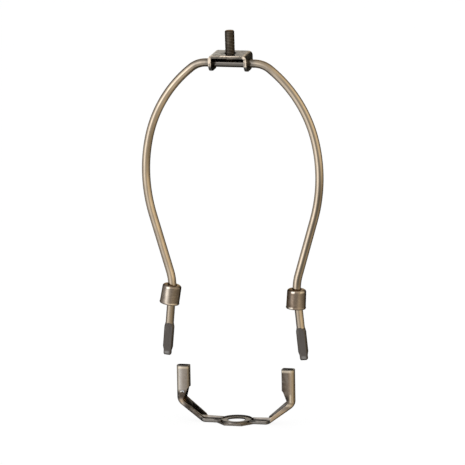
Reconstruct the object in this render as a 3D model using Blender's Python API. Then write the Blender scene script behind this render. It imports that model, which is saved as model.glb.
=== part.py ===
"""Detachable lamp harp, shown lifted off its saddle.

A bent wire hoop with two flattened feet carries a swivelling seat and stud for the lampshade.
A cupped ferrule slides on each leg. The stamped saddle below clamps under the lamp socket,
and the feet drop into the two flat sockets folded at the ends of its arms.

Frame: origin at the centre of the saddle's underside, +X to the right, +Z up, front towards -Y.
"""
import math

import bmesh
import bpy
from mathutils import Matrix, Vector

MM = 0.001

# Wire of the harp
WIRE_DIAMETER = 5.15 * MM
WIRE_AXIS_HEIGHT = 227.4 * MM
TOP_RUN_HALF = 15.5 * MM
SHOULDER_RADIUS = 15.2 * MM
SHOULDER_TURN = math.radians(38.4)
BOW_RADIUS = 79.0 * MM
BOW_TURN = math.radians(39.1)
WAIST_RADIUS = 98.5 * MM
WAIST_TURN = math.radians(28.7)
INWARD_RUN = 36.7 * MM
ANKLE_RADIUS = 32.0 * MM
ANKLE_TURN = math.radians(21.6)
LEG_LENGTH = 42.0 * MM

# Flattened feet at the ends of the wire
FOOT_WIDTH = 6.4 * MM
FOOT_THICKNESS = 3.6 * MM
FOOT_LENGTH = 18.0 * MM
FOOT_SHOULDER = 2.8 * MM
TIP_WIDTH = 5.1 * MM
TIP_THICKNESS = 2.9 * MM
TIP_LENGTH = 3.2 * MM
TIP_TAPER = 2.4 * MM
TIP_ROUND = 1.0 * MM

# Ferrules
FERRULE_HEIGHT = 12.2 * MM
FERRULE_TOP_DIAMETER = 11.9 * MM
FERRULE_SKIRT_DIAMETER = 12.2 * MM
FERRULE_BEAD_DIAMETER = 12.6 * MM
FERRULE_BEAD_HEIGHT = 0.9 * MM
FERRULE_BEAD_ROUND = 0.3 * MM
FERRULE_CROWN_RADIUS = 1.5 * MM
FERRULE_WALL = 0.65 * MM
FERRULE_HOLE_CLEARANCE = 0.42 * MM
FERRULE_HOLE_ABOVE_TIP = 44.9 * MM
FERRULE_LEFT_LEAN = math.radians(5.0)
FERRULE_RIGHT_LEAN = math.radians(9.0)

# Swivel bracket
BRACKET_SHEET = 1.8 * MM
BRACKET_WIDTH = 24.3 * MM
BRACKET_DEPTH = 17.0 * MM
BRACKET_BEND = 2.6 * MM
BRACKET_TILT = math.radians(3.0)
PLATE_ABOVE_AXIS = 6.25 * MM
EAR_BELOW_AXIS = 4.4 * MM
EAR_CORNER = 5.6 * MM
EAR_HOLE_CLEARANCE = 0.3 * MM

# Stud
STUD_DIAMETER = 6.0 * MM
STUD_HEIGHT = 14.3 * MM
STUD_CHAMFER = 0.6 * MM
STUD_HEAD_DIAMETER = 8.0 * MM
STUD_HEAD_THICKNESS = 1.4 * MM
STUD_HEAD_CHAMFER = 0.35 * MM
STUD_COUNTERSINK = 7.6 * MM
STUD_COUNTERSINK_DEPTH = 0.5 * MM
STUD_CLEARANCE = 0.3 * MM

# Sheet and sockets of the saddle
SADDLE_SHEET = 0.75 * MM
SOCKET_SPACING = 67.6 * MM
SOCKET_TOP_HEIGHT = 35.4 * MM
SOCKET_WIDTH_CLEARANCE = 0.1 * MM
SOCKET_DEPTH_CLEARANCE = 0.25 * MM
SOCKET_OUTER_CORNER = 2.2 * MM
SOCKET_INNER_CORNER = 1.1 * MM
SOCKET_SEAM = 0.3 * MM
SOCKET_CLOSED_LENGTH = 12.8 * MM
SOCKET_LIP_CUT = 1.7 * MM
SOCKET_SIDE_CUT = 5.4 * MM
DIMPLE_DIAMETER = 2.9 * MM
DIMPLE_DEPTH = 0.55 * MM
DIMPLE_BELOW_TOP = 17.2 * MM
DIMPLE_OUTWARD = 0.3 * MM
DIMPLE_OVERLAP = 0.15 * MM

# Arms of the saddle
ARM_SLOPE = math.radians(36.0)
ARM_BEND = 6.5 * MM
NECK_END = 21.1 * MM
NECK_BEND = 5.0 * MM
NECK_DEPTH = 9.0 * MM
NECK_HEIGHT = 2.4 * MM
NECK_CORNER = 1.2 * MM
SLOPE_DEPTH = 6.8 * MM
FRONT_SLOPE_HEIGHT = 2.7 * MM
FRONT_BEND_HEIGHT = 5.0 * MM
BACK_SLOPE_HEIGHT = 5.1 * MM
BACK_BEND_HEIGHT = 5.7 * MM

# Ring of the saddle
RING_DEPTH = 20.8 * MM
RING_FLAT = 11.0 * MM
RING_LENGTH = 21.6 * MM
RING_EDGE_HEIGHT = 1.3 * MM
RING_RIM_HEIGHT = 2.4 * MM
RING_RIM_CREST = 0.35 * MM
RING_RIM_MARGIN = 0.3 * MM
RING_RECESS_DIAMETER = 19.2 * MM
RING_RECESS_DEPTH = 0.6 * MM
RING_WALL_SLOPE = 0.3 * MM
RING_HOLE_DIAMETER = 11.1 * MM

# Facets
WIRE_SIDES = 20
ROUND_STEPS = 36
DIMPLE_STEPS = 16
BEND_STEP = math.radians(4.5)
STRIP_BEND_STEP = math.radians(11.5)
FOLD_STEP = math.radians(20.0)


def clear_scene():
    for obj in list(bpy.data.objects):
        bpy.data.objects.remove(obj, do_unlink=True)


def make_material(name, colour, metallic, roughness):
    material = bpy.data.materials.new(name)
    material.use_nodes = True
    shader = material.node_tree.nodes["Principled BSDF"]
    shader.inputs["Base Color"].default_value = (*colour, 1.0)
    shader.inputs["Metallic"].default_value = metallic
    shader.inputs["Roughness"].default_value = roughness
    return material


def add_object(name, bm, material=None, place=None):
    """Turns a bmesh into a named object whose faces point outwards."""
    bmesh.ops.recalc_face_normals(bm, faces=bm.faces)
    mesh = bpy.data.meshes.new(name)
    bm.to_mesh(mesh)
    bm.free()
    mesh.shade_smooth()
    mesh.set_sharp_from_angle(angle=math.radians(32.0))
    obj = bpy.data.objects.new(name, mesh)
    if material:
        mesh.materials.append(material)
    if place:
        obj.matrix_world = place
    bpy.context.collection.objects.link(obj)
    return obj


def boolean(target, tool, operation):
    """Cuts or joins target with a tool object, which stays behind as a hidden guide."""
    modifier = target.modifiers.new(tool.name, "BOOLEAN")
    modifier.operation = operation
    modifier.solver = "EXACT"
    modifier.object = tool
    tool.hide_render = True
    tool.display_type = "WIRE"


def weld(target):
    """Merges the twin corners that a row of Booleans leaves where edges cross."""
    modifier = target.modifiers.new("weld", "WELD")
    modifier.merge_threshold = 0.01 * MM


def arc(centre, radius, start, turn, steps):
    """Points of a plane arc, both ends included."""
    points = []
    for k in range(steps + 1):
        angle = start + turn * k / steps
        points.append((centre[0] + radius * math.cos(angle), centre[1] + radius * math.sin(angle)))
    return points


def bend_of(radius, turn):
    """A path's bend as (length, turn)."""
    return radius * abs(turn), turn


def path_marks(path, step):
    """Distances along a path of (length, turn) stretches where it needs a point."""
    marks = [0.0]
    for length, turn in path:
        count = max(1, math.ceil(abs(turn) / step))
        marks += [marks[-1] + length * k / count for k in range(1, count + 1)]
    return marks


def walk(path, distance):
    """Plane point and heading after a distance along a path that sets out from zero along its first axis."""
    point = Vector((0.0, 0.0))
    heading = 0.0
    for length, turn in path:
        share = min(distance, length) / length
        after = heading + turn * share
        if turn:
            swing = Vector((math.sin(after) - math.sin(heading), math.cos(heading) - math.cos(after)))
            point += swing * (length / turn)
        else:
            point += Vector((math.cos(heading), math.sin(heading))) * length * share
        heading = after
        distance = max(0.0, distance - length)
    return point, heading


def filleted(corners, radii, step):
    """A plane polyline with its inner corners rounded, as (point, unit tangent) stations."""
    points = [Vector(c) for c in corners]
    stations = [(points[0], (points[1] - points[0]).normalized())]
    for before, corner, after, radius in zip(points, points[1:], points[2:], radii):
        go = (corner - before).normalized()
        leave = (after - corner).normalized()
        turn = math.atan2(go.cross(leave), go.dot(leave))
        reach = radius * math.tan(abs(turn) / 2)
        side = Vector((-go.y, go.x)) * math.copysign(1.0, turn)
        centre = corner - go * reach + side * radius
        count = max(2, math.ceil(abs(turn) / step))
        for k in range(count + 1):
            spin = Matrix.Rotation(turn * k / count, 2)
            stations.append((centre - (spin @ side) * radius, spin @ go))
    stations.append((points[-1], (points[-1] - points[-2]).normalized()))
    return stations


def strip_outline(stations, thickness):
    """Closed outline of a bent strip that lies half a thickness to each side of its middle line."""
    left = []
    right = []
    for point, tangent in stations:
        normal = Vector((-tangent.y, tangent.x)) * (thickness / 2)
        left.append(point + normal)
        right.append(point - normal)
    return [tuple(p) for p in left + right[::-1]]


def prism(outline, low, high, axis):
    """Extrudes a closed plane outline between two levels along an axis, X, Y or Z."""
    def place(a, b, level):
        return {"X": (level, a, b), "Y": (a, level, b), "Z": (a, b, level)}[axis]

    bm = bmesh.new()
    base = [bm.verts.new(place(a, b, low)) for a, b in outline]
    top = [bm.verts.new(place(a, b, high)) for a, b in outline]
    bm.faces.new(base)
    bm.faces.new(top)
    for k in range(len(outline)):
        j = (k + 1) % len(outline)
        bm.faces.new((base[k], base[j], top[j], top[k]))
    return bm


def lathe(profile, closed=False, steps=ROUND_STEPS):
    """Turns (radius, height) points about Z. An open profile starts and ends on the axis."""
    bm = bmesh.new()
    verts = [bm.verts.new((r, 0.0, z)) for r, z in profile]
    edges = [bm.edges.new(pair) for pair in zip(verts, verts[1:])]
    if closed:
        edges.append(bm.edges.new((verts[-1], verts[0])))
    bmesh.ops.spin(
        bm, geom=verts + edges, cent=(0, 0, 0), axis=(0, 0, 1), angle=math.tau, steps=steps
    )
    bmesh.ops.remove_doubles(bm, verts=bm.verts, dist=1e-6)
    bmesh.ops.dissolve_degenerate(bm, edges=bm.edges, dist=1e-7)
    return bm


def cylinder(radius, low, high):
    return lathe([(0.0, high), (radius, high), (radius, low), (0.0, low)])


def loft(rings):
    """Skins a row of closed rings that have the same number of points, and caps both ends."""
    bm = bmesh.new()
    rows = [[bm.verts.new(p) for p in ring] for ring in rings]
    count = len(rows[0])
    for near, far in zip(rows, rows[1:]):
        for k in range(count):
            j = (k + 1) % count
            bm.faces.new((near[k], near[j], far[j], far[k]))
    for row in (rows[0], rows[-1]):
        for k in range(count // 2 - 1):
            bm.faces.new((row[k], row[k + 1], row[-2 - k], row[-1 - k]))
    bmesh.ops.remove_doubles(bm, verts=bm.verts, dist=1e-6)
    bmesh.ops.dissolve_degenerate(bm, edges=bm.edges, dist=1e-7)
    return bm


def ramp(value, low, high):
    return min(1.0, max(0.0, (value - low) / (high - low)))


def mix(low, high, share):
    return low + (high - low) * share


# Harp wire

def wire_path():
    """Right half of the centre line, from the middle of the top to the foot's tip."""
    return [
        (TOP_RUN_HALF, 0.0),
        bend_of(SHOULDER_RADIUS, SHOULDER_TURN),
        bend_of(BOW_RADIUS, BOW_TURN),
        bend_of(WAIST_RADIUS, WAIST_TURN),
        (INWARD_RUN, 0.0),
        bend_of(ANKLE_RADIUS, -ANKLE_TURN),
        (LEG_LENGTH, 0.0),
    ]


def wire_point(distance):
    """Point of the right half at a distance from the middle of the top, and its heading below +X."""
    point, heading = walk(wire_path(), distance)
    return Vector((point.x, 0.0, WIRE_AXIS_HEIGHT - point.y)), heading


def leg_point(above_tip):
    return wire_point(sum(length for length, turn in wire_path()) - above_tip)


def foot_sections():
    """(height above the tip, width, thickness) from the round wire down to the rounded end."""
    sections = []
    for share in (0.0, 0.3, 0.65, 1.0):
        eased = share * share * (3.0 - 2.0 * share)
        width = mix(WIRE_DIAMETER, FOOT_WIDTH, eased)
        thickness = mix(WIRE_DIAMETER, FOOT_THICKNESS, eased)
        sections.append((FOOT_LENGTH + FOOT_SHOULDER * (1.0 - share), width, thickness))
    sections.append((TIP_LENGTH + TIP_TAPER, FOOT_WIDTH, FOOT_THICKNESS))
    sections.append((TIP_LENGTH, TIP_WIDTH, TIP_THICKNESS))
    for inset, height in arc((TIP_ROUND, TIP_ROUND), TIP_ROUND, math.pi, math.pi / 2, 4):
        sections.append((height, TIP_WIDTH - 2 * inset, TIP_THICKNESS - 2 * inset))
    return sections


def wire_ring(point, heading, width, thickness, mirror):
    """Section of the wire: a circle, or two half circles joined by flats that face front and back."""
    up = Vector((math.sin(heading), 0.0, math.cos(heading)))
    ring = []
    for k in range(WIRE_SIDES):
        angle = math.tau * (k + 0.5) / WIRE_SIDES
        across = math.cos(angle) * thickness / 2
        across += math.copysign((width - thickness) / 2, across)
        corner = point + up * across
        corner.y = math.sin(angle) * thickness / 2
        corner.x *= mirror
        ring.append(corner)
    return ring


def make_harp_wire(material):
    marks = path_marks(wire_path(), BEND_STEP)[:-1]
    rows = [(*wire_point(mark), WIRE_DIAMETER, WIRE_DIAMETER) for mark in marks]
    for height, width, thickness in foot_sections():
        rows.append((*leg_point(height), width, thickness))
    left = [wire_ring(*row, mirror=-1.0) for row in rows[:0:-1]]
    right = [wire_ring(*row, mirror=1.0) for row in rows]
    return add_object("harp_wire", loft(left + right), material)


# Ferrules

def ferrule_profile():
    """Closed section of the drawn cup, open at the bottom, with its base at height zero."""
    hole = WIRE_DIAMETER / 2 + FERRULE_HOLE_CLEARANCE
    skirt = FERRULE_SKIRT_DIAMETER / 2
    bead = FERRULE_BEAD_DIAMETER / 2
    crown = FERRULE_CROWN_RADIUS
    centre = (FERRULE_TOP_DIAMETER / 2 - crown, FERRULE_HEIGHT - crown)
    outside = [(hole, FERRULE_HEIGHT)]
    outside += arc(centre, crown, math.pi / 2, -math.pi / 2, 6)
    outside += [
        (skirt, FERRULE_BEAD_HEIGHT + bead - skirt),
        (bead, FERRULE_BEAD_HEIGHT),
        (bead, FERRULE_BEAD_ROUND),
        (bead - FERRULE_BEAD_ROUND, 0.0),
    ]
    inside = [(skirt - FERRULE_WALL, 0.0)]
    inside += arc(centre, crown - FERRULE_WALL, 0.0, math.pi / 2, 4)
    inside += [(hole, FERRULE_HEIGHT - FERRULE_WALL)]
    return outside + inside


def make_ferrule(name, side, lean, material):
    """Loose cup that hangs by its hole and leans off the leg's own direction."""
    hole, _ = leg_point(FERRULE_HOLE_ABOVE_TIP)
    _, heading = leg_point(0.0)
    hole.x *= side
    turn = Matrix.Rotation((heading - math.pi / 2) * side + lean, 4, "Y")
    drop = Matrix.Translation((0.0, 0.0, FERRULE_WALL / 2 - FERRULE_HEIGHT))
    place = Matrix.Translation(hole) @ turn @ drop
    return add_object(name, lathe(ferrule_profile(), closed=True), material, place)


# Swivel bracket and stud

def swivel_place():
    """Sets a shape made about the wire's axis on the wire, tipped forward as the bracket hangs."""
    return Matrix.Translation((0.0, 0.0, WIRE_AXIS_HEIGHT)) @ Matrix.Rotation(BRACKET_TILT, 4, "X")


def bracket_outline():
    """Front view of the folded strip: ear, plate, ear."""
    ear = (BRACKET_WIDTH - BRACKET_SHEET) / 2
    middle = PLATE_ABOVE_AXIS - BRACKET_SHEET / 2
    low = -EAR_BELOW_AXIS - EAR_CORNER
    bend = BRACKET_BEND - BRACKET_SHEET / 2
    corners = [(ear, low), (ear, middle), (-ear, middle), (-ear, low)]
    return strip_outline(filleted(corners, [bend, bend], STRIP_BEND_STEP), BRACKET_SHEET)


def ear_outline():
    """Side view of the bracket: straight sides and rounded ear bottoms."""
    half = BRACKET_DEPTH / 2
    low = -EAR_BELOW_AXIS
    high = PLATE_ABOVE_AXIS + BRACKET_SHEET
    corner = EAR_CORNER
    points = [(half, high), (-half, high)]
    points += arc((-half + corner, low + corner), corner, math.pi, math.pi / 2, 8)
    points += arc((half - corner, low + corner), corner, -math.pi / 2, math.pi / 2, 8)
    return points


def make_bracket(material):
    """Bent sheet strip, trimmed to the ears' outline, bored for the wire and holed for the stud."""
    place = swivel_place()
    strip = prism(bracket_outline(), -BRACKET_DEPTH, BRACKET_DEPTH, "Y")
    bracket = add_object("swivel_bracket", strip, material, place)
    sides = prism(ear_outline(), -BRACKET_WIDTH, BRACKET_WIDTH, "X")
    boolean(bracket, add_object("guide_ear_outline", sides, place=place), "INTERSECT")

    bore = cylinder(WIRE_DIAMETER / 2 + EAR_HOLE_CLEARANCE, -BRACKET_WIDTH, BRACKET_WIDTH)
    across = place @ Matrix.Rotation(math.pi / 2, 4, "Y")
    boolean(bracket, add_object("guide_ear_bore", bore, place=across), "DIFFERENCE")

    hole = STUD_DIAMETER / 2 + STUD_CLEARANCE
    sink = STUD_COUNTERSINK / 2
    slope = (sink - hole) / STUD_COUNTERSINK_DEPTH
    over = BRACKET_SHEET
    cut = lathe([
        (0.0, PLATE_ABOVE_AXIS + over),
        (sink + slope * over, PLATE_ABOVE_AXIS + over),
        (hole, PLATE_ABOVE_AXIS - STUD_COUNTERSINK_DEPTH),
        (hole, PLATE_ABOVE_AXIS - 2 * over),
        (0.0, PLATE_ABOVE_AXIS - 2 * over),
    ])
    boolean(bracket, add_object("guide_stud_hole", cut, place=place), "DIFFERENCE")
    weld(bracket)
    return bracket


def make_stud(material):
    """Plain shank with a chamfered end, and the flat head that holds it under the plate."""
    under = PLATE_ABOVE_AXIS - BRACKET_SHEET - STUD_CLEARANCE
    low = under - STUD_HEAD_THICKNESS
    radius = STUD_DIAMETER / 2
    head = STUD_HEAD_DIAMETER / 2
    top = PLATE_ABOVE_AXIS + STUD_HEIGHT
    profile = [
        (0.0, top),
        (radius - STUD_CHAMFER, top),
        (radius, top - STUD_CHAMFER),
        (radius, under),
        (head - STUD_HEAD_CHAMFER, under),
        (head, under - STUD_HEAD_CHAMFER),
        (head, low + STUD_HEAD_CHAMFER),
        (head - STUD_HEAD_CHAMFER, low),
        (0.0, low),
    ]
    return add_object("finial_stud", lathe(profile), material, swivel_place())


# Saddle's arms and sockets

def socket_width():
    return FOOT_WIDTH + 2 * (SOCKET_WIDTH_CLEARANCE + SADDLE_SHEET)


def socket_depth():
    return FOOT_THICKNESS + 2 * (SOCKET_DEPTH_CLEARANCE + SADDLE_SHEET)


def fold_path(depth, corner):
    """Middle line of a shut socket's half section: web, bend, wall, bend and lip, up to the seam."""
    half = SADDLE_SHEET / 2
    low = corner - half
    high = SOCKET_INNER_CORNER - half
    return [
        (depth / 2 - corner, 0.0),
        bend_of(low, math.pi / 2),
        (socket_width() - corner - SOCKET_INNER_CORNER, 0.0),
        bend_of(high, math.pi / 2),
        (depth / 2 - SOCKET_INNER_CORNER - SOCKET_SEAM / 2, 0.0),
    ]


def flange_edge(depth, corner, height):
    """Developed half length of an open channel whose flanges reach the given height."""
    web, bend = fold_path(depth, corner)[:2]
    return web[0] + bend[0] + height - corner


def shut_edge(depth, corner):
    return sum(length for length, turn in fold_path(depth, corner))


def both_sides(front, back):
    """Two rows of points that start on the middle line, as one row from front edge to back edge."""
    return [Vector((-p.x, p.y)) for p in front[:0:-1]] + back


def folded_half(path, edge):
    """Outer and inner faces of half a section, where the sheet ends at a developed length."""
    half = SADDLE_SHEET / 2
    outer = []
    inner = []
    for mark in path_marks(path, FOLD_STEP):
        middle, heading = walk(path, min(mark, edge))
        middle.y += half
        normal = Vector((math.sin(heading), -math.cos(heading))) * half
        outer.append(middle + normal)
        inner.append(middle - normal)
    return outer, inner


def arm_ring(point, tangent, depth, corner, front_edge, back_edge):
    """Ring of an arm's folded sheet at one station of the web's outer face."""
    path = fold_path(depth, corner)
    front_outer, front_inner = folded_half(path, front_edge)
    back_outer, back_inner = folded_half(path, back_edge)
    inward = Vector((-tangent.y, tangent.x))
    ring = []
    for local in both_sides(front_outer, back_outer) + both_sides(front_inner, back_inner)[::-1]:
        plane = point + inward * local.y
        ring.append(Vector((plane.x, local.x, plane.y)))
    return ring


def arm_stations():
    """Web's outer face of the right arm, from inside the ring's rim out and up to the mouth."""
    outer = SOCKET_SPACING / 2 + socket_width() / 2
    start = RING_RECESS_DIAMETER / 2 - SADDLE_SHEET / 2
    knee = (outer - NECK_END) * math.tan(ARM_SLOPE)
    corners = [(start, 0.0), (NECK_END, 0.0), (outer, knee), (outer, SOCKET_TOP_HEIGHT)]
    stations = filleted(corners, [NECK_BEND, ARM_BEND], BEND_STEP)
    last, upward = stations.pop()
    bent = stations[-1][0].y
    closed = SOCKET_TOP_HEIGHT - SOCKET_CLOSED_LENGTH
    marks = [closed - SOCKET_LIP_CUT - SOCKET_SIDE_CUT * k / 4 for k in range(4, -1, -1)]
    marks += [closed - SOCKET_LIP_CUT / 2, closed]
    for height in marks:
        if height > bent + SOCKET_LIP_CUT / 3:
            stations.append((Vector((outer, height)), upward))
    return stations + [(last, upward)]


def make_arm(name, side):
    """One arm: a shallow channel at the neck, deeper up the slope, folded shut at the socket."""
    closed = SOCKET_TOP_HEIGHT - SOCKET_CLOSED_LENGTH
    walled = closed - SOCKET_LIP_CUT
    cut = walled - SOCKET_SIDE_CUT
    wall = socket_width() - SOCKET_INNER_CORNER
    flanges = ((FRONT_SLOPE_HEIGHT, FRONT_BEND_HEIGHT), (BACK_SLOPE_HEIGHT, BACK_BEND_HEIGHT))
    rings = []
    for point, tangent in arm_stations():
        out = ramp(point.x, NECK_END - NECK_BEND / 2, NECK_END + NECK_BEND)
        up = ramp(point.y, 0.0, cut)
        depth = mix(mix(NECK_DEPTH, SLOPE_DEPTH, out), socket_depth(), up)
        corner = mix(NECK_CORNER, SOCKET_OUTER_CORNER, up)
        edges = []
        for slope_height, bend_height in flanges:
            height = mix(mix(NECK_HEIGHT, slope_height, out), bend_height, up * up * up)
            height = mix(height, wall, ramp(point.y, cut, walled))
            open_edge = flange_edge(depth, corner, height)
            shut = ramp(point.y, walled, closed)
            edges.append(mix(open_edge, shut_edge(depth, corner), shut))
        ring = arm_ring(point, tangent, depth, corner, *edges)
        rings.append([Vector((p.x * side, p.y, p.z)) for p in ring])
    return add_object(name, loft(rings))


def dome(sphere, depth):
    """Solid below a level plane: a ball's lower cap, with straight sides that run past the plane."""
    sweep = math.acos((sphere - depth - DIMPLE_OVERLAP) / sphere)
    cap = arc((0.0, sphere - depth), sphere, sweep - math.pi / 2, -sweep, 6)
    cap[-1] = (0.0, -depth)
    top = 2 * DIMPLE_OVERLAP
    return lathe([(0.0, top), (cap[0][0], top)] + cap, steps=DIMPLE_STEPS)


def add_dimples(base):
    """Stop dimple in each arm: a dent outside and the bump that it raises inside the socket."""
    sphere = ((DIMPLE_DIAMETER / 2) ** 2 + DIMPLE_DEPTH ** 2) / (2 * DIMPLE_DEPTH)
    outside = socket_depth() / 2
    inside = outside - SADDLE_SHEET
    x = SOCKET_SPACING / 2 + DIMPLE_OUTWARD
    z = SOCKET_TOP_HEIGHT - DIMPLE_BELOW_TOP
    for k, side in enumerate((1, -1)):
        turn = Matrix.Rotation(-side * math.pi / 2, 4, "X")
        for name, y, operation in (("bump", inside, "UNION"), ("dent", outside, "DIFFERENCE")):
            place = Matrix.Translation((x * side, y * side, z)) @ turn
            tool = add_object(f"guide_{name}_{k}", dome(sphere, DIMPLE_DEPTH), place=place)
            boolean(base, tool, operation)


# Saddle's ring, and the whole saddle

def ring_end():
    """Where a slanted side of the ring's octagon runs out under the rounded edge of the neck."""
    run = (RING_LENGTH - RING_FLAT) / (RING_DEPTH - NECK_DEPTH)
    return RING_LENGTH / 2 + NECK_CORNER * run, NECK_DEPTH / 2 - NECK_CORNER


def ring_outline():
    """Plan of the ring: an octagon whose slanted sides run out under the necks."""
    quarter = [ring_end(), (RING_FLAT / 2, RING_DEPTH / 2)]
    half = quarter + [(-x, y) for x, y in quarter[::-1]]
    return half + [(x, -y) for x, y in half[::-1]]


def make_ring(material):
    """Octagonal plate with a raised round rim, a shallow seat inside it and a hollow below."""
    base = add_object("base_bracket", prism(ring_outline(), 0.0, RING_EDGE_HEIGHT, "Z"), material)
    recess = RING_RECESS_DIAMETER / 2
    root = RING_EDGE_HEIGHT - RING_RIM_MARGIN
    rim = lathe([
        (0.0, RING_RIM_HEIGHT),
        (recess + RING_RIM_CREST, RING_RIM_HEIGHT),
        (RING_DEPTH / 2 - RING_RIM_MARGIN, root),
        (0.0, root),
    ])
    boolean(base, add_object("guide_rim", rim), "UNION")

    seat = RING_RIM_HEIGHT - RING_RECESS_DEPTH
    over = SADDLE_SHEET
    slope = RING_WALL_SLOPE / RING_RECESS_DEPTH
    dish = lathe([
        (0.0, RING_RIM_HEIGHT + over),
        (recess + slope * over, RING_RIM_HEIGHT + over),
        (recess - RING_WALL_SLOPE, seat),
        (0.0, seat),
    ])
    boolean(base, add_object("guide_recess", dish), "DIFFERENCE")
    hollow = cylinder(recess - SADDLE_SHEET, -over, seat - SADDLE_SHEET)
    boolean(base, add_object("guide_hollow", hollow), "DIFFERENCE")
    return base


def make_base_bracket(material):
    """Ring, gap in its rim for each neck, arms, slip hole and stop dimples, as one stamping."""
    base = make_ring(material)
    begin = RING_RECESS_DIAMETER / 2 - RING_WALL_SLOPE
    inside = NECK_DEPTH / 2 - SADDLE_SHEET
    over = SADDLE_SHEET
    reach = ring_end()[0] + over
    gap = [(begin, -inside), (reach, -inside), (reach, inside), (begin, inside)]
    for k, side in enumerate((1.0, -1.0)):
        cut = prism([(x * side, y) for x, y in gap], SADDLE_SHEET, RING_RIM_HEIGHT + over, "Z")
        boolean(base, add_object(f"guide_neck_{k}", cut), "DIFFERENCE")
        boolean(base, make_arm(f"guide_arm_{k}", side), "UNION")

    bore = cylinder(RING_HOLE_DIAMETER / 2, -over, RING_RIM_HEIGHT + over)
    boolean(base, add_object("guide_ring_hole", bore), "DIFFERENCE")
    weld(base)
    add_dimples(base)
    weld(base)
    return base


def main():
    clear_scene()
    brass = make_material("antique brass", (0.30, 0.23, 0.16), 1.0, 0.34)
    dark_brass = make_material("dark antique brass", (0.20, 0.16, 0.12), 1.0, 0.38)
    brown = make_material("oxidised stud steel", (0.08, 0.06, 0.05), 1.0, 0.42)
    make_harp_wire(brass)
    make_ferrule("ferrule_left", -1.0, FERRULE_LEFT_LEAN, dark_brass)
    make_ferrule("ferrule_right", 1.0, FERRULE_RIGHT_LEAN, dark_brass)
    make_bracket(dark_brass)
    make_stud(brown)
    make_base_bracket(brass)


main()
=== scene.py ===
import math

import bmesh
import bpy
from mathutils import Matrix, Vector


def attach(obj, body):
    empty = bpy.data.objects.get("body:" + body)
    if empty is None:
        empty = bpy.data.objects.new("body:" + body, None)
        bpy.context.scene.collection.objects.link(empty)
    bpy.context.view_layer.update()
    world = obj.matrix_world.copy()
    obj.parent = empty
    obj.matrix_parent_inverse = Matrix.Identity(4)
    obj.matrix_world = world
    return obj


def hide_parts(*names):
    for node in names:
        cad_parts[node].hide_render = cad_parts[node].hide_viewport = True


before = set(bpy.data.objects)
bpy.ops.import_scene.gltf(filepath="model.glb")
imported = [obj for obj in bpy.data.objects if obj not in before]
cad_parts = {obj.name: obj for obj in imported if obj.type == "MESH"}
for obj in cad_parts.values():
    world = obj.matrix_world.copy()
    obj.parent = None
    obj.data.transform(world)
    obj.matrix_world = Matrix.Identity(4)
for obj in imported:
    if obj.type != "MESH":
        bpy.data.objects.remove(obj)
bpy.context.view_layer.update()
mm = 0.001
print("frame loaded:", ", ".join(sorted(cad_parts)))

photoView = {
    "azimuth": 14.5,  # degrees, round to the object's right
    "elevation": 11.5,
    "roll": -1.0,
    "distance": 3.0,
    "target": (-0.57 * mm, 0.0, 120.9 * mm),  # falls on the picture's centre
    "pixelSize": 0.62 * mm,  # at the target
    "pixels": 465,
    "sensor": 36.0,
    "clip": (0.1, 50.0),
}


def placeCamera(view):
    azimuth = math.radians(view["azimuth"])
    elevation = math.radians(view["elevation"])
    roll = math.radians(view["roll"])
    level = Vector((-math.sin(azimuth), math.cos(azimuth), 0.0))
    forward = level * math.cos(elevation) - Vector((0.0, 0.0, math.sin(elevation)))
    right = Vector((math.cos(azimuth), math.sin(azimuth), 0.0))
    up = right.cross(forward)
    tiltedRight = right * math.cos(roll) + up * math.sin(roll)
    tiltedUp = up * math.cos(roll) - right * math.sin(roll)
    data = bpy.data.cameras.new("photoCamera")
    data.sensor_width = view["sensor"]
    data.lens = view["distance"] / (view["pixelSize"] * view["pixels"]) * view["sensor"]
    data.clip_start, data.clip_end = view["clip"]
    camera = bpy.data.objects.new("photoCamera", data)
    place = Matrix((tiltedRight, tiltedUp, -forward)).transposed().to_4x4()
    place.translation = Vector(view["target"]) - forward * view["distance"]
    camera.matrix_world = place
    bpy.context.scene.collection.objects.link(camera)
    bpy.context.scene.camera = camera


def addNode(tree, kind, inputs=None, **settings):
    made = tree.nodes.new(kind)
    for key, value in settings.items():
        setattr(made, key, value)
    for key, value in (inputs or {}).items():
        if isinstance(value, bpy.types.NodeSocket):
            tree.links.new(value, made.inputs[key])
        else:
            made.inputs[key].default_value = value
    return made


def emptyMaterial(name):
    material = bpy.data.materials.new(name)
    material.use_nodes = True
    material.node_tree.nodes.clear()
    return material, material.node_tree


def linkObject(name, mesh):
    made = bpy.data.objects.new(name, mesh)
    bpy.context.scene.collection.objects.link(made)
    return made


# studio: white world and pale floor; metal mirrors a light tent with dark flags

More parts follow.
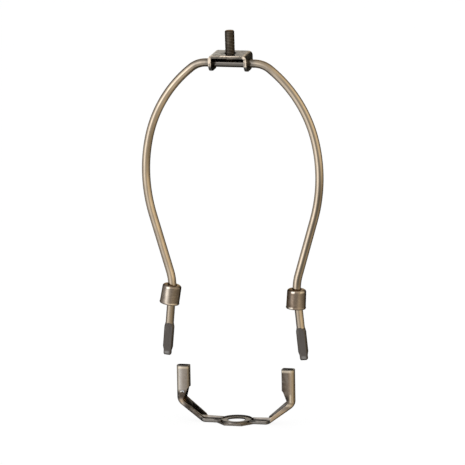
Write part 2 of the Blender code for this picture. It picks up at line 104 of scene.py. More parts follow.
studio = {
    "tent": [  # height above the horizon, then light found there at bearings from the camera, in degrees
        (-75, [(-180, 0.2), (180, 0.2)]),
        (-42, [
            (-125, 0.2), (-81, 0.7), (-53, 1.5), (-29, 1.7), (0, 1.2), (29, 1.0), (53, 0.9), (81, 0.6),
            (125, 0.2),
        ]),
        (-18, [
            (-180, 0.3), (-165, 0.05), (-145, 0.25), (-130, 0.5), (-116, 0.7), (-100, 0.8), (-81, 0.85),
            (-63, 1.2), (-42, 1.2), (-29, 0.95), (-15, 0.8), (0, 0.65), (20, 0.5), (42, 0.45), (63, 0.42),
            (88, 0.38), (110, 0.3), (120, 0.05), (165, 0.05), (180, 0.3),
        ]),
        (-2, [
            (-180, 1.6), (-171, 1.4), (-163, 0.08), (-145, 0.3), (-130, 0.6), (-116, 0.8), (-100, 0.9),
            (-81, 1.1), (-68, 2.3), (-53, 3.8), (-42, 3.4), (-29, 1.9), (-15, 1.2), (0, 0.9), (15, 1.3),
            (29, 1.75), (42, 1.6), (53, 1.35), (63, 1.15), (81, 0.8), (100, 0.6), (115, 0.3), (123, 0.05),
            (161, 0.08), (170, 1.4), (180, 1.6),
        ]),
        (25, [
            (-180, 1.6), (-167, 1.4), (-159, 0.1), (-125, 0.1), (-100, 0.9), (-81, 1.3), (-53, 3.1),
            (-29, 3.2), (0, 1.8), (29, 1.5), (53, 1.3), (81, 1.0), (100, 0.7), (125, 0.1), (159, 0.1),
            (167, 1.4), (180, 1.6),
        ]),
        (55, [(-180, 0.4), (-90, 1.0), (0, 1.5), (90, 1.0), (180, 0.4)]),
    ],
    "tentScale": 3.8,  # a ramp itself stays at or below one
    "coolLeft": (0.93, 1.0, 1.12), "warmRight": (1.07, 1.0, 0.84), "tintReach": 0.6,
    "softBoxes": {  # bearing and height in degrees, distance and size in metres, radiance
        "leftBox": (-60.0, 40.0, 1.4, (0.8, 0.8), 0.5),
        "topBox": (20.0, 75.0, 1.4, (1.0, 1.0), 0.5),
    },
    "floorSize": 9.0, "floorSides": 64,
    "floorShade": (0.8, 0.8, 0.8), "floorGlow": 1.03,  # the glow alone shows as plain white
    "shadowShare": 0.12,
}


def calc(tree, operation, first, second=0.0):
    return addNode(tree, "ShaderNodeMath", {0: first, 1: second}, operation=operation).outputs[0]


def product(tree, *factors):
    total = factors[0]
    for factor in factors[1:]:
        total = calc(tree, "MULTIPLY", total, factor)
    return total


def vectorCalc(tree, operation, first, second=(0.0, 0.0, 0.0)):
    made = addNode(tree, "ShaderNodeVectorMath", {0: first, 1: second}, operation=operation)
    return made.outputs["Value" if operation in ("LENGTH", "DOT_PRODUCT") else "Vector"]


def spread(tree, value, fromLow, fromHigh, toLow=0.0, toHigh=1.0):
    return addNode(tree, "ShaderNodeMapRange", {
        "Value": value, "From Min": fromLow, "From Max": fromHigh, "To Min": toLow, "To Max": toHigh,
    }).outputs[0]


def mixColour(tree, share, first, second, blend="MIX"):
    made = addNode(tree, "ShaderNodeMix", {0: share}, data_type="RGBA", blend_type=blend)
    for key, value in (("A_Color", first), ("B_Color", second)):
        socket = next(s for s in made.inputs if s.identifier == key)
        if isinstance(value, bpy.types.NodeSocket):
            tree.links.new(value, socket)
        else:
            socket.default_value = (*value, 1.0)
    return next(s for s in made.outputs if s.identifier == "Result_Color")


def rampColour(tree, share, stops):
    made = addNode(tree, "ShaderNodeValToRGB", {"Fac": share})
    elements = made.color_ramp.elements
    while len(elements) < len(stops):
        elements.new(1.0)
    for element, (position, colour) in zip(elements, stops):
        element.position = position
        element.color = (*colour, 1.0)
    return made.outputs["Color"]


def paintTent(world):
    tree = world.node_tree
    tree.nodes.clear()
    turned = addNode(tree, "ShaderNodeVectorRotate", {
        "Vector": addNode(tree, "ShaderNodeTexCoord").outputs["Generated"],
        "Angle": -math.radians(photoView["azimuth"]),
    }, rotation_type="Z_AXIS")
    parts = addNode(tree, "ShaderNodeSeparateXYZ", {0: turned.outputs[0]}).outputs
    bearing = calc(tree, "ARCTAN2", parts["X"], product(tree, parts["Y"], -1.0))
    share = spread(tree, bearing, -math.pi, math.pi)
    scale = studio["tentScale"]
    light, below = None, None
    for height, stops in studio["tent"]:
        ramp = rampColour(tree, share, [((b + 180) / 360, (v / scale,) * 3) for b, v in stops])
        level = math.sin(math.radians(height))
        if light is not None:
            ramp = mixColour(tree, spread(tree, parts["Z"], below, level), light, ramp)
        light, below = ramp, level
    aside = spread(tree, parts["X"], -studio["tintReach"], studio["tintReach"])
    tint = mixColour(tree, aside, studio["coolLeft"], studio["warmRight"])
    tint = mixColour(tree, 1.0, tint, (scale,) * 3, "MULTIPLY")
    light = mixColour(tree, 1.0, light, tint, "MULTIPLY")
    glossy = addNode(tree, "ShaderNodeLightPath").outputs["Is Glossy Ray"]
    colour = mixColour(tree, glossy, (1.0, 1.0, 1.0), light)
    sky = addNode(tree, "ShaderNodeBackground", {"Color": colour})
    addNode(tree, "ShaderNodeOutputWorld", {"Surface": sky.outputs[0]})
    world.cycles.sampling_method = "NONE"  # the tent is found by the mirrored rays alone


def bearingPoint(bearing, height, distance, centre):
    around = math.radians(bearing + photoView["azimuth"])
    up = math.radians(height)
    direction = Vector((math.sin(around) * math.cos(up), -math.cos(around) * math.cos(up), math.sin(up)))
    return centre + direction * distance


def addSoftBox(name, bearing, height, distance, size, radiance):
    centre = Vector(photoView["target"])
    data = bpy.data.lights.new(name, "AREA")
    data.shape = "RECTANGLE"
    data.size, data.size_y = size
    data.energy = radiance * math.pi * size[0] * size[1]
    box = bpy.data.objects.new(name, data)
    box.location = bearingPoint(bearing, height, distance, centre)
    box.rotation_euler = (box.location - centre).to_track_quat("Z", "Y").to_euler()
    box.visible_camera = False
    box.visible_glossy = False
    bpy.context.scene.collection.objects.link(box)


def floorMaterial():
    material, tree = emptyMaterial("paleFloor")
    path = addNode(tree, "ShaderNodeLightPath").outputs
    seen = calc(tree, "MAXIMUM", path["Is Camera Ray"], path["Is Transmission Ray"])
    pale = addNode(tree, "ShaderNodeBsdfDiffuse", {"Color": (*studio["floorShade"], 1.0)}).outputs[0]
    white = addNode(tree, "ShaderNodeEmission", {
        "Color": (1.0, 1.0, 1.0, 1.0), "Strength": studio["floorGlow"],
    }).outputs[0]
    shaded = addNode(tree, "ShaderNodeMixShader", {0: studio["shadowShare"], 1: white, 2: pale}).outputs[0]
    mixed = addNode(tree, "ShaderNodeMixShader", {0: seen, 1: pale, 2: shaded}).outputs[0]
    addNode(tree, "ShaderNodeOutputMaterial", {"Surface": mixed})
    return material


def buildFloor():
    bm = bmesh.new()
    bmesh.ops.create_circle(bm, cap_ends=True, segments=studio["floorSides"], radius=studio["floorSize"])
    mesh = bpy.data.meshes.new("floor")
    bm.to_mesh(mesh)
    bm.free()
    mesh.materials.append(floorMaterial())
    floor = linkObject("floor", mesh)
    floor.visible_glossy = False  # mirrors look past it into the tent


def buildStudio():
    scene = bpy.context.scene
    scene.view_settings.view_transform = "Standard"
    scene.world = bpy.data.worlds.new("studioWorld")
    scene.world.use_nodes = True
    paintTent(scene.world)
    for name, settings in studio["softBoxes"].items():
        addSoftBox(name, *settings)
    buildFloor()


placeCamera(photoView)
buildStudio()
print("camera and studio placed")

# metal finishes; sizes and limits in millimetres, shares from none to one

finishes = {
    "wireBrass": {
        "body": (0.41, 0.315, 0.215), "patinaAndShade": (0.115, 0.10, 0.083), "worn": (0.55, 0.43, 0.30),
        "blotch": (9.0, 0.18), "grain": (0.45, 0.07), "brush": ((0.35, 0.35, 9.0), 0.12), "pits": 0.3,
        "roughness": (0.13, 0.20), "hollow": (0.8, 0.6), "edge": (0.25, 0.4), "bump": 0.06,
        "edgeTint": (0.45, 0.38, 0.3), "coords": "barCoords", "bare": True, "paintedHighlight": (0.3, 0.28, 0.25),
        "shadeBands": [  # painted shade in bands along the bar: angle round the bar, half width, softness, reach along it, fade, share
            (21.5, 9.0, 13.0, (26, 180), 22.0, 0.8),
            (-62.0, 26.0, 16.0, (185, 203), 4.0, 0.8),
            (64.0, 20.0, 14.0, (-203, -185), 4.0, 0.75),
            (-62.0, 14.0, 16.0, (-203, -185), 4.0, 0.5),
        ],
        "patches": [  # shade, share, softness, then limits along X, Y and Z
            # painted shade: the wire darker under and beside the swivel bracket, where the plate's shadow
            # falls
            ("patinaAndShade", 0.95, 3.0, (-12.5, 12.5), None, (215, 240)),
            ("patinaAndShade", 0.8, 3.0, (-15.5, 15.5), None, (215, 240)),
            ("patinaAndShade", 0.5, 4.0, (12, 27), None, (215, 240)),
            ("patinaAndShade", 0.6, 6.0, (-25, -12), None, (215, 240)),
            # painted highlight: the right bow lighter where its reflected light band runs
            ("worn", 0.7, 20.0, (30, 70), None, (155, 218)),
            # painted highlight: a small glint on each foot's rounded tip
            ("paintedHighlight", 0.5, 0.8, (-45.6, -42.7), (-3, -1.0), (42.5, 44.2)),
            ("paintedHighlight", 0.4, 0.8, (42.7, 45.4), (-3, -1.0), (42.5, 44.2)),
        ],
    },
    "darkBrass": {
        "body": (0.255, 0.20, 0.15), "patinaAndShade": (0.09, 0.068, 0.05), "worn": (0.62, 0.52, 0.40),
        "blotch": (4.0, 0.35), "grain": (0.5, 0.14), "brush": ((5.0, 5.0, 0.3), 0.16), "pits": 0.4,
        "roughness": (0.20, 0.30), "hollow": (1.0, 0.9), "edge": (0.3, 0.8), "bump": 0.10,
        "edgeTint": (0.4, 0.35, 0.3), "brown": (0.5, 0.45, 0.4), "patches": [
            # painted shade: the right ferrule's left front darker, over its reflected highlight
            ("brown", 1.0, 3.0, (33.0, 40.9), (-8, 0), None),
            # painted highlights: glints on the ferrules' crowns and beads, and a lighter band down the left
            # ferrule
            ("worn", 0.8, 0.5, (37.6, 40.0), (-8, -2), (84.8, 86.0)),
            ("worn", 0.7, 0.5, (43.2, 45.2), (-8, -1), (84.6, 85.8)),
            ("worn", 0.7, 0.6, (35.6, 38.6), (-8, 0), (73.5, 75.8)),
            ("worn", 0.8, 0.6, (-42.2, -40.0), (-8, -2), (84.8, 86.2)),
            ("worn", 0.3, 1.2, (-43.0, -40.6), (-8, -3), (75, 84.5)),
            ("worn", 0.5, 0.6, (-41.5, -36.5), (-8, -2), (73.0, 75.4)),
        ],
    },
    "plateBrass": {
        "body": (0.30, 0.28, 0.25), "patinaAndShade": (0.07, 0.06, 0.045), "worn": (0.70, 0.56, 0.41),
        "blotch": (2.6, 0.65), "grain": (0.6, 0.2), "brush": ((0.3, 4.0, 4.0), 0.12), "pits": 0.4,
        "roughness": (0.22, 0.36), "hollow": (1.6, 0.95), "edge": (0.3, 0.8), "bump": 0.12,
        "edgeTint": (0.6, 0.58, 0.55), "brown": (0.58, 0.5, 0.42), "bracket": True, "patches": [
            ("brown", 0.8, 5.0, (4, 14), (-7.8, 9), (231, 236)),
            ("brown", 0.8, 1.0, None, (-9.6, -7.6), (228, 235)),
            ("patinaAndShade", 0.8, 2.0, (-9.5, 9.5), (-9.6, -7.6), (231, 235)),
            ("patinaAndShade", 0.5, 2.0, (-14, 14), (-9.6, -7.6), (220, 232)),
        ],
    },
    "saddleBrass": {
        "body": (0.36, 0.315, 0.26), "patinaAndShade": (0.085, 0.073, 0.061), "worn": (0.66, 0.53, 0.37),
        "blotch": (6.0, 0.22), "grain": (0.5, 0.06), "brush": ((3.0, 3.0, 0.3), 0.07), "pits": 0.3,
        "roughness": (0.17, 0.25), "hollow": (0.35, 0.9), "edge": (0.3, 0.7), "bump": 0.05,
        "edgeTint": (0.6, 0.58, 0.55), "paintedHighlight": (0.95, 0.95, 0.93), "brown": (0.56, 0.48, 0.41),
        "crown": 0.2, "crownAcross": (-37.8, -29.8), "crownEnd": -29.0,  # the left arm's face
        "leanSoft": 0.2,
        "leans": [  # limits along X, Y and Z, then how far the face seems tipped
            ((-23, -10), (1.5, 5.2), (0.8, 3), 0.4),
            ((10, 23), (1.5, 5.2), (0.8, 3), 0.4),
        ],
        "patches": [  # as above, then limits out from the Z axis, then a ring: its X and Z, inner and outer
            # the arms and slopes: painted highlights on their lit sides, edges and bends, painted shade on
            # their shaded sides and slopes, and a browner tone
            ("worn", 0.7, 1.2, (-40, -36.2), None, (14, 36)),
            ("patinaAndShade", 0.95, 2.5, (-40, -30.5), None, (13.5, 19.0)),
            ("worn", 0.6, 1.5, (-39, -33.5), None, (6, 13.5)),
            ("patinaAndShade", 0.95, 2.5, (-33.0, -22.0), None, (-2, 14)),
            ("patinaAndShade", 0.9, 4.5, (28, 33.0), None, (13, 36)),
            ("patinaAndShade", 1.0, 2.0, (31.0, 34.2), None, (13.5, 18.0)),
            ("worn", 0.7, 2.0, (35.0, 40), None, (10, 36)),
            ("worn", 0.75, 1.5, (22.5, 38), (-6, 1), (-2, 9.5)),
            ("patinaAndShade", 0.9, 0.6, (22, 34), (2.2, 5), (1.5, 14)),
            ("brown", 0.6, 3.0, (-35.0, -29), None, (13.5, 36)),
            ("brown", 0.9, 2.0, (-36.6, -30), None, (11.5, 19.5)),
            ("brown", 1.0, 2.5, (-33.5, -22.5), (-6, -2.5), (-2, 14)),
            ("brown", 1.0, 2.0, (28, 35.6), None, (12.5, 34.3)),
            ("brown", 0.5, 1.0, (34.5, 40), None, (12.5, 34.3)),
            ("brown", 0.9, 2.0, (22.5, 38), (-6, 1), (-2, 13)),
            ("shadeBlack", 0.55, 2.5, (31.5, 35.0), (-4, -1), (14.2, 19.0)),
            ("worn", 0.7, 0.8, (35.0, 35.9), (-4, -1), (14.5, 19.5)),
            ("worn", 0.7, 1.2, (32.0, 36.2), (-4, -1), (12.0, 13.4)),
            # painted highlight along the arms' top edges, and painted shade in their open tops
            ("worn", 0.6, 1.0, (-40, 40), None, (33.6, 34.9)),
            ("shadeBlack", 0.85, 0.3, (-40, 40), None, (34.95, 36)),
            # the neck and ring: browner and darker, with painted shade on their front faces
            ("brown", 0.6, 0.5, (-22.5, 22.5), (-5.2, -3.9), (-2, 0.8)),
            ("brown", 0.5, 0.5, (-22.5, 22.5), (2.5, 5.2), (0.9, 3)),
            ("brown", 0.7, 0.5, None, None, (-1, 1.9), (5.3, 9.5)),
            ("brown", 0.7, 0.8, (-11.5, 11.5), (-11, -4.5), (-2, 2)),
            ("patinaAndShade", 0.6, 1.0, (-22.0, 22.0), (-5, -3.3), (-2, 6)),
            ("patinaAndShade", 0.6, 0.8, (-22.0, 22.0), (-3.3, 5), (-2, 6)),
            ("patinaAndShade", 0.7, 1.0, (-11.5, 11.5), None, (-2, 6)),
            # painted shade: dark lines in the neck's channels, in the hole, round the raised pad, behind the
            # front rim and inside the arms' sockets
            ("shadeBlack", 0.9, 0.4, (-22.5, -9.5), (-4.1, -3.1), (0.9, 3)),
            ("shadeBlack", 0.9, 0.4, (9.5, 22.5), (-4.1, -3.1), (0.9, 3)),
            ("shadeBlack", 0.9, 0.4, (-22.5, -9.5), (1.5, 5), (0.5, 1.55)),
            ("shadeBlack", 0.9, 0.4, (9.5, 22.5), (1.5, 5), (0.5, 1.55)),
            ("shadeBlack", 1.0, 0.2, None, None, (-1, 2.6), (5.0, 6.1)),
            ("shadeBlack", 0.95, 0.4, None, None, (0.7, 2.6), (8.75, 9.7)),
            ("shadeBlack", 0.85, 0.3, None, (-11, 0), (1.8, 3), (9.5, 14)),
            ("shadeBlack", 1.0, 0.25, (-37.3, -30.4), (-2.2, 2.2), (15, 37)),
            ("shadeBlack", 1.0, 0.25, (30.4, 37.3), (-2.2, 2.2), (15, 37)),
            # painted highlight: the bright crescent on the dimple's upper edge
            ("paintedHighlight", 1.0, 0.4, (-35.7, -33.0), (-4, -1), (18.3, 20), None, (-34.1, 18.2, 0.7, 1.45)),
        ],
    },
    "studSteel": {
        "body": (0.06, 0.047, 0.034), "patinaAndShade": (0.025, 0.02, 0.015), "worn": (0.36, 0.30, 0.24),
        "blotch": (2.5, 0.45), "grain": (0.3, 0.16), "brush": ((0.8, 0.8, 6.0), 0.25), "pits": 0.4,
        "roughness": (0.20, 0.30), "hollow": (0.5, 0.5), "edge": (0.2, 0.7), "bump": 0.08,
        "edgeTint": (0.5, 0.4, 0.3), "patches": [],
    },
}

bareSteel = {  # where the plating is pressed off the wire
    "body": (0.088, 0.074, 0.062), "patinaAndShade": (0.055, 0.046, 0.039), "rougher": 0.2,
    "border": (0.40, 0.60), "borderGrain": 0.9, "borderWander": 0.25,
}

# painted shade: near-black for gaps, grooves and hollows in shade, and under the swivel plate
shadeBlack = (0.012, 0.011, 0.010)

patterns = {  # noise levels that stand for none and full, sizes, and shares
    "blotch": (0.38, 0.66), "tone": (0.3, 0.7), "pits": (0.66, 0.74), "pitSize": 0.7,
    "wanderSize": 2.0, "wander": (0.75, 1.15),  # how much of a patch shows
    "wornSize": 1.6, "worn": (0.60, 0.44), "wornLeast": 0.05,
    "evenEdges": (1.3, 0.1),  # blotches that spare a rubbed edge
    "occlusion": (0.75, 0.3), "occlusionSamples": 8,
    "rough": (0.15, 0.8), "hollowRough": 0.15,
    "firstShare": 0.6,  # of two noises that are added
    "relief": 0.03,
}

edgeRound = {"radius": 0.22, "samples": 8}  # how far light rolls over a sharp edge

axisHeight = 227.4  # the wire's straight top, on which the bracket swivels

swivel = {
    "tilt": 3.0, "plateAbove": 6.25, "sheet": 1.8, "width": 24.3, "depth": 17.0,
    "wornDepth": (0.5, 0.05),  # behind the front face: where the wear starts and is full
    "frontLine": (0.8, 0.5), "belowLine": 0.1,  # under the plate's top, and what shows below the line
    "lineReach": (4.0, 5.5), "lineEnds": 0.55,
    "earReach": (9.0, 10.5),
    "bendWear": (9.9, 11.2), "bendSoft": 0.8, "bendShare": 0.7,
    # painted shadow and reflection of the stud round its foot: reach and share
    "studShade": (4.0, 6.6), "studShare": 0.85,
    "insideGap": 0.15,
}


def speckle(tree, coords, size, detail=4.0, stretch=None):
    if stretch:
        scale = tuple(1.0 / s for s in stretch)
        coords = addNode(tree, "ShaderNodeMapping", {"Vector": coords, "Scale": scale}).outputs[0]
    return addNode(tree, "ShaderNodeTexNoise", {
        "Vector": coords, "Scale": 1.0 / (size * mm), "Detail": detail, "Roughness": 0.6,
    }).outputs[0]


def band(tree, value, limits, soft):
    low, high = limits
    rise = spread(tree, value, (low - soft / 2) * mm, (low + soft / 2) * mm)
    fall = spread(tree, value, (high + soft / 2) * mm, (high - soft / 2) * mm)
    return product(tree, rise, fall)


def planeReach(tree, first, second):
    flat = addNode(tree, "ShaderNodeCombineXYZ", {"X": first, "Y": second}).outputs[0]
    return vectorCalc(tree, "LENGTH", flat)


def ringBand(tree, parts, limits, soft):
    x, z, inner, outer = limits
    aside = calc(tree, "SUBTRACT", parts[0], x * mm)
    above = calc(tree, "SUBTRACT", parts[2], z * mm)
    return band(tree, planeReach(tree, aside, above), (inner, outer), soft)


def placeParts(tree, coords):
    parts = addNode(tree, "ShaderNodeSeparateXYZ", {0: coords}).outputs
    return [parts["X"], parts["Y"], parts["Z"], planeReach(tree, parts["X"], parts["Y"])]


def paintPatches(tree, coords, look, colour):
    wander = speckle(tree, coords, patterns["wanderSize"])
    wander = spread(tree, wander, *patterns["tone"], *patterns["wander"])
    parts = placeParts(tree, coords)
    for kind, share, soft, *limits in look["patches"]:
        for part, span in zip(parts, limits):
            if span:
                share = product(tree, share, band(tree, part, span, soft))
        if len(limits) > len(parts):
            share = product(tree, share, ringBand(tree, parts, limits[-1], soft))
        if kind != "shadeBlack":
            share = product(tree, share, wander)
        blend = "MULTIPLY" if kind == "brown" else "MIX"
        colour = mixColour(tree, share, colour, shadeBlack if kind == "shadeBlack" else look[kind], blend)
    return colour


# painted shade: dark bands at set angles round the wire, where its reflection falls dark
def shadeBandShare(tree, coords, shadeBands):
    parts = addNode(tree, "ShaderNodeSeparateXYZ", {0: coords}).outputs
    angle = calc(tree, "ARCTAN2", parts["X"], product(tree, parts["Y"], -1.0))
    total = 0.0
    for middle, half, soft, reach, fade, share in shadeBands:
        off = calc(tree, "ABSOLUTE", calc(tree, "SUBTRACT", angle, math.radians(middle)))
        share = spread(tree, off, math.radians(half + soft), math.radians(half), 0.0, share)
        share = product(tree, share, band(tree, parts["Z"], reach, fade))
        total = calc(tree, "MAXIMUM", total, share)
    return total


def bracketMarks(tree, coords):
    turned = addNode(tree, "ShaderNodeVectorRotate", {
        "Vector": vectorCalc(tree, "ADD", coords, (0.0, 0.0, -axisHeight * mm)),
        "Angle": -math.radians(swivel["tilt"]),
    }, rotation_type="X_AXIS")
    x, y, z, reach = placeParts(tree, turned.outputs[0])
    side = calc(tree, "ABSOLUTE", x)
    top = swivel["plateAbove"]

    start, full = (-swivel["depth"] / 2 + depth for depth in swivel["wornDepth"])
    front = spread(tree, y, start * mm, full * mm)
    # painted shade under the plate and between the ears
    inX = swivel["width"] / 2 - swivel["sheet"] + swivel["insideGap"]
    inZ = top - swivel["sheet"] + swivel["insideGap"]
    inside = product(
        tree, calc(tree, "LESS_THAN", side, inX * mm), calc(tree, "LESS_THAN", z, inZ * mm),
        calc(tree, "SUBTRACT", 1.0, front),
    )

    start, full = (top - below for below in swivel["frontLine"])
    line = spread(tree, z, start * mm, full * mm, swivel["belowLine"], 1.0)
    near, far = swivel["lineReach"]
    line = product(tree, line, spread(tree, side, near * mm, far * mm, 1.0, swivel["lineEnds"]))
    near, far = swivel["earReach"]
    ears = spread(tree, side, near * mm, far * mm)
    worn = product(tree, front, calc(tree, "MAXIMUM", line, ears))
    rub = band(tree, side, swivel["bendWear"], swivel["bendSoft"])
    rub = product(tree, rub, calc(tree, "GREATER_THAN", z, inZ * mm), swivel["bendShare"])
    # painted shadow and reflection of the stud on the plate round its foot
    near, far = swivel["studShade"]
    ring = spread(tree, reach, far * mm, near * mm, 0.0, swivel["studShare"])
    return calc(tree, "MAXIMUM", worn, rub), calc(tree, "MAXIMUM", inside, ring)


def readPatterns(tree, coords, look):
    blotch = speckle(tree, coords, look["blotch"][0])
    pits = speckle(tree, coords, patterns["pitSize"], detail=2.0)
    return {
        "blotch": spread(tree, blotch, *patterns["blotch"]),
        "grain": speckle(tree, coords, look["grain"][0], detail=3.0),
        "brush": speckle(tree, coords, 1.0, detail=2.0, stretch=look["brush"][0]),
        "pits": spread(tree, pits, *patterns["pits"], 0.0, look["pits"]),
    }


def toneTint(tree, noise, look):
    tones = []
    for key in ("grain", "brush"):
        swing = look[key][1]
        tones.append(spread(tree, noise[key], *patterns["tone"], 1.0 - swing, 1.0 + swing))
    tone = product(tree, *tones)
    return addNode(tree, "ShaderNodeCombineColor", {0: tone, 1: tone, 2: tone}).outputs[0]


def bareShare(tree, coords):
    bare = addNode(tree, "ShaderNodeAttribute", attribute_name="bareSteel").outputs["Fac"]
    wander = bareSteel["borderWander"]
    border = speckle(tree, coords, bareSteel["borderGrain"])
    bare = calc(tree, "ADD", bare, spread(tree, border, *patterns["tone"], -wander, wander))
    return spread(tree, bare, *bareSteel["border"])


# patina in the brass's hollows, and painted shade where ambient light is occluded there
def hollowPatinaAndShade(tree, look):
    reach, share = look["hollow"]
    near = addNode(tree, "ShaderNodeAmbientOcclusion", {
        "Distance": reach * mm,
    }, samples=patterns["occlusionSamples"], only_local=True)
    return spread(tree, near.outputs["AO"], *patterns["occlusion"], 0.0, share)


def rubbedShare(tree, rolled, noise, look):
    drop, share = look["edge"]
    plain = addNode(tree, "ShaderNodeNewGeometry").outputs["Normal"]
    facing = vectorCalc(tree, "DOT_PRODUCT", plain, rolled)
    rubbed = spread(tree, facing, 1.0, 1.0 - drop, 0.0, share)
    return product(tree, rubbed, spread(tree, noise["blotch"], *patterns["evenEdges"]))


def crownNormal(tree, place, look, normal):  # pressed faces bulge a little
    parts = placeParts(tree, place)
    left, right = look["crownAcross"]
    lean = spread(tree, parts[0], left * mm, right * mm, -look["crown"], look["crown"])
    lean = product(tree, lean, calc(tree, "LESS_THAN", parts[0], look["crownEnd"] * mm))
    tip = 0.0
    for *limits, amount in look["leans"]:
        for part, span in zip(parts, limits):
            amount = product(tree, amount, band(tree, part, span, look["leanSoft"]))
        tip = calc(tree, "ADD", tip, amount)
    bulge = addNode(tree, "ShaderNodeCombineXYZ", {"X": lean, "Z": tip}).outputs[0]
    return vectorCalc(tree, "NORMALIZE", vectorCalc(tree, "ADD", normal, bulge))


def addNoises(tree, first, second):
    share = patterns["firstShare"]
    return calc(tree, "ADD", product(tree, first, share), product(tree, second, 1.0 - share))


def metalFinish(name, look):
    material, tree = emptyMaterial(name)
    place = addNode(tree, "ShaderNodeTexCoord").outputs["Object"]
    coords = place
    if "coords" in look:
        coords = addNode(tree, "ShaderNodeAttribute", attribute_name=look["coords"]).outputs["Vector"]
    noise = readPatterns(tree, coords, look)
    rough = addNoises(tree, noise["blotch"], noise["grain"])
    rough = spread(tree, rough, *patterns["rough"], *look["roughness"])

    shade = product(tree, noise["blotch"], look["blotch"][1])
    colour = mixColour(tree, shade, look["body"], look["patinaAndShade"])
    colour = mixColour(tree, noise["pits"], colour, look["patinaAndShade"])
    if "bare" in look:
        bare = bareShare(tree, coords)
        steel = mixColour(tree, shade, bareSteel["body"], bareSteel["patinaAndShade"])
        colour = mixColour(tree, bare, colour, steel)
        rough = calc(tree, "ADD", rough, product(tree, bare, bareSteel["rougher"]))
    colour = mixColour(tree, 1.0, colour, toneTint(tree, noise, look), "MULTIPLY")
    hollow = hollowPatinaAndShade(tree, look)
    colour = mixColour(tree, hollow, colour, look["patinaAndShade"])
    rough = calc(tree, "ADD", rough, product(tree, hollow, patterns["hollowRough"]))
    colour = paintPatches(tree, place, look, colour)
    # painted shade in bands along the wire
    if "shadeBands" in look:
        colour = mixColour(tree, shadeBandShare(tree, coords, look["shadeBands"]), colour, look["patinaAndShade"])

    rolled = addNode(tree, "ShaderNodeBevel", {
        "Radius": edgeRound["radius"] * mm,
    }, samples=edgeRound["samples"]).outputs[0]
    rubbed = rubbedShare(tree, rolled, noise, look)
    if "bracket" in look:
        # the bracket's rubbed wear, and its painted shade under the plate and round the stud
        worn, paintedShade = bracketMarks(tree, place)
        colour = mixColour(tree, paintedShade, colour, shadeBlack)
        patchy = speckle(tree, place, patterns["wornSize"])
        patchy = spread(tree, patchy, *patterns["worn"], patterns["wornLeast"], 1.0)
        rubbed = product(tree, rubbed, calc(tree, "SUBTRACT", 1.0, paintedShade))
        rubbed = calc(tree, "MAXIMUM", rubbed, product(tree, worn, patchy))
    colour = mixColour(tree, rubbed, colour, look["worn"])
    if "crown" in look:
        rolled = crownNormal(tree, place, look, rolled)

    height = calc(tree, "SUBTRACT", addNoises(tree, noise["grain"], noise["brush"]), noise["pits"])
    bump = addNode(tree, "ShaderNodeBump", {
        "Strength": look["bump"], "Distance": patterns["relief"] * mm, "Height": height, "Normal": rolled,
    })
    shader = addNode(tree, "ShaderNodeBsdfPrincipled", {
        "Base Color": colour, "Metallic": 1.0, "Roughness": rough,
        "Specular Tint": (*look["edgeTint"], 1.0), "Normal": bump.outputs[0],
    })
    addNode(tree, "ShaderNodeOutputMaterial", {"Surface": shader.outputs[0]})
    return material


materials = {name: metalFinish(name, look) for name, look in finishes.items()}
print("finishes made:", ", ".join(materials))


def finishPiece(piece, material, body, node):
    piece.data.materials.clear()
    piece.data.materials.append(materials[material])
    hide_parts(node)
    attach(piece, body)
    print(piece.name, "made:", len(piece.data.polygons), "faces")


# harp wire: one swept bar with its ends pressed flat

wire = {
    "diameter": 5.15,
    "path": [  # straight length, or radius and turn in degrees, from the middle of the top to the tip
        (15.5,), (15.2, 38.4), (79.0, 39.1), (98.5, 28.7), (36.7,), (32.0, -21.6), (42.0,),
    ],
    "footWidth": 6.4, "footThickness": 3.6, "footLength": 18.0, "footShoulder": 3.4,
    "tipWidth": 5.1, "tipThickness": 2.9, "tipLength": 3.2, "tipTaper": 2.4, "tipRound": 1.4,
    "bareReach": 2.6,  # how early the plating gives way above the foot
    "bareFlat": 1.5, "bareSide": 0.8,
    "sideReach": 70.0, "sideSteps": 14, "flatSteps": 8,  # degrees of the round bar that count as its side
    "turnStep": 1.5, "shoulderSteps": 12, "tipSteps": 6, "sharp": 40.0,
}


def wireStretches():
    stretches = []
    for entry in wire["path"]:
        turn = math.radians(entry[1]) if len(entry) > 1 else 0.0
        stretches.append((entry[0] * (abs(turn) if turn else 1.0), turn))
    return stretches


def wirePoint(distance):
    x, drop, heading = 0.0, 0.0, 0.0
    for length, turn in wireStretches():
        share = min(distance, length) / length
        after = heading + turn * share
        if turn:
            x += (math.sin(after) - math.sin(heading)) * length / turn
            drop += (math.cos(heading) - math.cos(after)) * length / turn
        else:
            x += math.cos(heading) * length * share
            drop += math.sin(heading) * length * share
        heading = after
        distance = max(0.0, distance - length)
    return Vector((x, 0.0, axisHeight - drop)), heading


def wireSection(width, thickness):
    radius = wire["diameter"] / 2
    limit = thickness / 2
    pressed = min(math.asin(min(1.0, limit / radius)), math.radians(wire["sideReach"]))
    points = []
    for start, end, count, bareness in (
        (-pressed, pressed, wire["sideSteps"], wire["bareSide"]),
        (pressed, math.pi - pressed, wire["flatSteps"], wire["bareFlat"]),
        (math.pi - pressed, math.pi + pressed, wire["sideSteps"], wire["bareSide"]),
        (math.pi + pressed, math.tau - pressed, wire["flatSteps"], wire["bareFlat"]),
    ):
        for k in range(count):
            angle = start + (end - start) * k / count
            depth = max(-limit, min(limit, radius * math.sin(angle)))
            points.append((width / 2 * math.cos(angle), depth, bareness))
    return points


